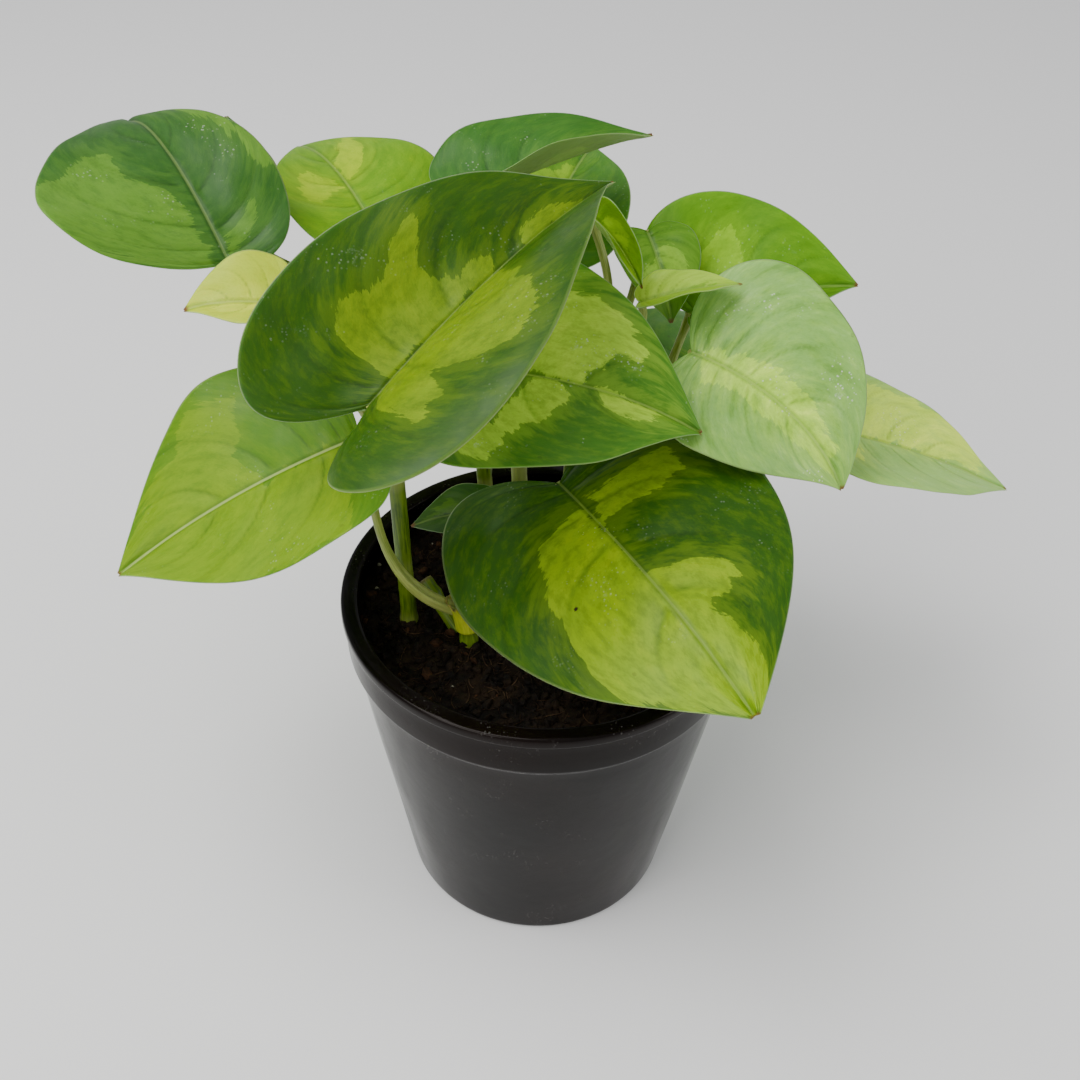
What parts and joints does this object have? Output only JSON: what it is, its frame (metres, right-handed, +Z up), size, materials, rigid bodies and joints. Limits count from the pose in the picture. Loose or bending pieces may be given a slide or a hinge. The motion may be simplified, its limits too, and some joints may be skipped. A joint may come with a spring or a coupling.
{
  "type": "potted pothos plant",
  "caption": "Trailing house plant with heart-shaped green leaves flecked with lime, rooted in soil in a thin round nursery pot with a rolled lip and drain holes",
  "frame": {"origin": "middle of the pot's flat underside, on the surface that the pot stands on", "axes": "+Z up along the pot's axis; -Y is the front, where the big low leaf hangs over the lip; +X is to the right seen from the front"},
  "size_m": [0.2477, 0.172, 0.2023],
  "materials": {
    "pot_plastic": "gloss",
    "soil": "matte",
    "vine_green": "satin",
    "stalk_green": "satin",
    "leaf_deep_green": "satin",
    "leaf_mid_green": "satin",
    "leaf_lime": "satin",
    "leaf_silver": "satin",
    "leaf_cream": "satin"
  },
  "bodies": {
    "root": {"nursery_pot": "pot_plastic", "potting_soil": "soil", "vine_left": "vine_green", "vine_front": "vine_green", "vine_middle": "vine_green", "vine_right": "vine_green", "vine_rear": "vine_green", "vine_rear_right": "vine_green", "leaf_centre": "leaf_deep_green", "stalk_centre": "stalk_green", "leaf_low_front": "leaf_mid_green", "stalk_low_front": "stalk_green", "leaf_lower_left": "leaf_lime", "stalk_lower_left": "stalk_green", "leaf_centre_right": "leaf_mid_green", "stalk_centre_right": "stalk_green", "leaf_right_pale": "leaf_silver", "stalk_right_pale": "stalk_green", "leaf_far_right": "leaf_silver", "stalk_far_right": "stalk_green", "leaf_upper_right": "leaf_lime", "stalk_upper_right": "stalk_green", "leaf_unfurling": "leaf_lime", "stalk_unfurling": "stalk_green", "leaf_top_centre": "leaf_mid_green", "stalk_top_centre": "stalk_green", "leaf_top_behind": "leaf_mid_green", "stalk_top_behind": "stalk_green", "leaf_curled": "leaf_lime", "stalk_curled": "stalk_green", "leaf_pale_right": "leaf_silver", "stalk_pale_right": "stalk_green", "leaf_upper_left": "leaf_mid_green", "stalk_upper_left": "stalk_green", "leaf_upper_left_behind": "leaf_deep_green", "stalk_upper_left_behind": "stalk_green", "leaf_pale_young": "leaf_cream", "stalk_pale_young": "stalk_green", "leaf_top_lime": "leaf_lime", "stalk_top_lime": "stalk_green", "leaf_small_shaded": "leaf_deep_green", "stalk_small_shaded": "stalk_green", "leaf_back_left": "leaf_mid_green", "stalk_back_left": "stalk_green", "leaf_back_right": "leaf_mid_green", "stalk_back_right": "stalk_green", "leaf_back_low": "leaf_mid_green", "stalk_back_low": "stalk_green"}
  },
  "joints": []
}
